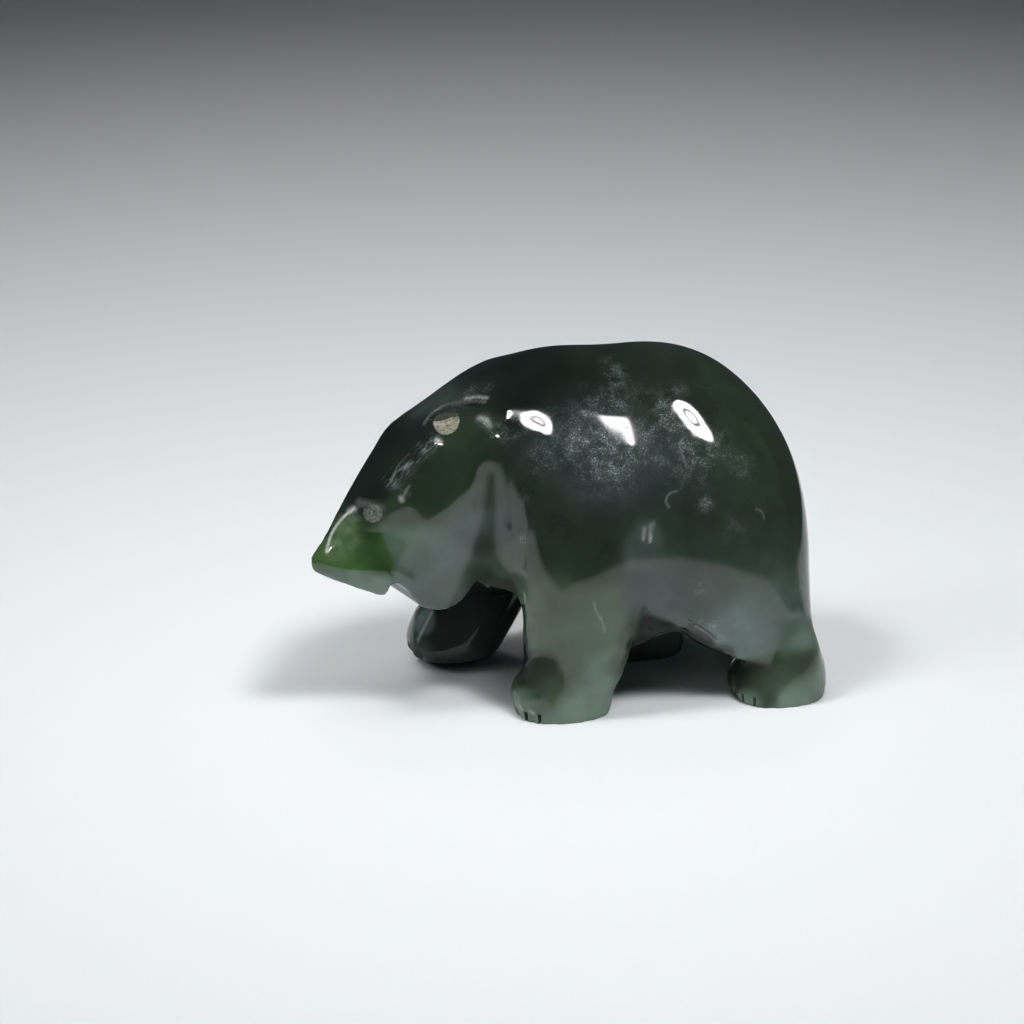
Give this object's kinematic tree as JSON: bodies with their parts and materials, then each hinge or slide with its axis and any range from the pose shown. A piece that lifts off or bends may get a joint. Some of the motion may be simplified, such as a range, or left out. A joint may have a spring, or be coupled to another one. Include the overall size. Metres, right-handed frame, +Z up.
{
  "type": "carved stone bear figure",
  "caption": "Small polished dark green jade carving of a walking bear with its head low and one front paw lifted, standing on its own feet.",
  "frame": {"origin": "on the ground, under the middle of the figure's bounding box", "axes": "+Z up, the bear looks towards -X, its left side is towards -Y"},
  "size_m": [0.07, 0.032, 0.0486],
  "materials": {
    "jade": "polished dark green nephrite, with drilled eyes and ears left matte"
  },
  "bodies": {
    "root": {"jade_bear": "jade"}
  },
  "joints": []
}
